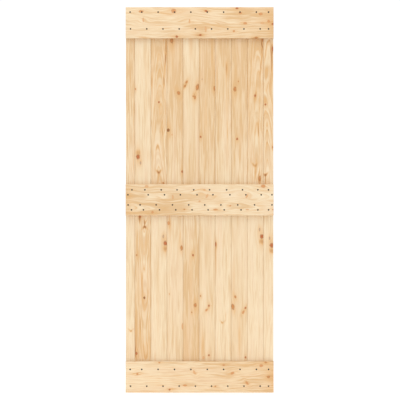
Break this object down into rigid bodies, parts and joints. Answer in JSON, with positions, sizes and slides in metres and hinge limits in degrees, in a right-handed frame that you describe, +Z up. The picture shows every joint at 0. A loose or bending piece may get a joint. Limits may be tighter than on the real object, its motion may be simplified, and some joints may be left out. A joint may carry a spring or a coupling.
{
  "type": "barn door",
  "caption": "Sliding barn door leaf of vertical tongue-and-groove pine boards in two halves, screwed to three wide rails across the front.",
  "frame": {"origin": "the middle of the leaf's foot, half way through its thickness", "axes": "+X to the right as the front is seen, +Y to the back, +Z up; the rails are on the front, at -Y"},
  "size_m": [0.8, 0.038, 2.085],
  "materials": {
    "pine_boards": "matte",
    "pine_rails": "matte",
    "black_screws": "satin"
  },
  "bodies": {
    "root": {"upper_board_01": "pine_boards", "upper_board_02": "pine_boards", "upper_board_03": "pine_boards", "upper_board_04": "pine_boards", "upper_board_05": "pine_boards", "upper_board_06": "pine_boards", "upper_board_07": "pine_boards", "upper_board_08": "pine_boards", "upper_board_09": "pine_boards", "upper_board_10": "pine_boards", "lower_board_01": "pine_boards", "lower_board_02": "pine_boards", "lower_board_03": "pine_boards", "lower_board_04": "pine_boards", "lower_board_05": "pine_boards", "lower_board_06": "pine_boards", "lower_board_07": "pine_boards", "lower_board_08": "pine_boards", "lower_board_09": "pine_boards", "lower_board_10": "pine_boards", "top_rail": "pine_rails", "middle_rail": "pine_rails", "bottom_rail": "pine_rails", "top_rail_screws_upper_row": "black_screws", "top_rail_screws_lower_row": "black_screws", "middle_rail_screws_row_1": "black_screws", "middle_rail_screws_row_2": "black_screws", "middle_rail_screws_row_3": "black_screws", "middle_rail_screws_row_4": "black_screws", "bottom_rail_screws_upper_row": "black_screws", "bottom_rail_screws_lower_row": "black_screws"}
  },
  "joints": []
}
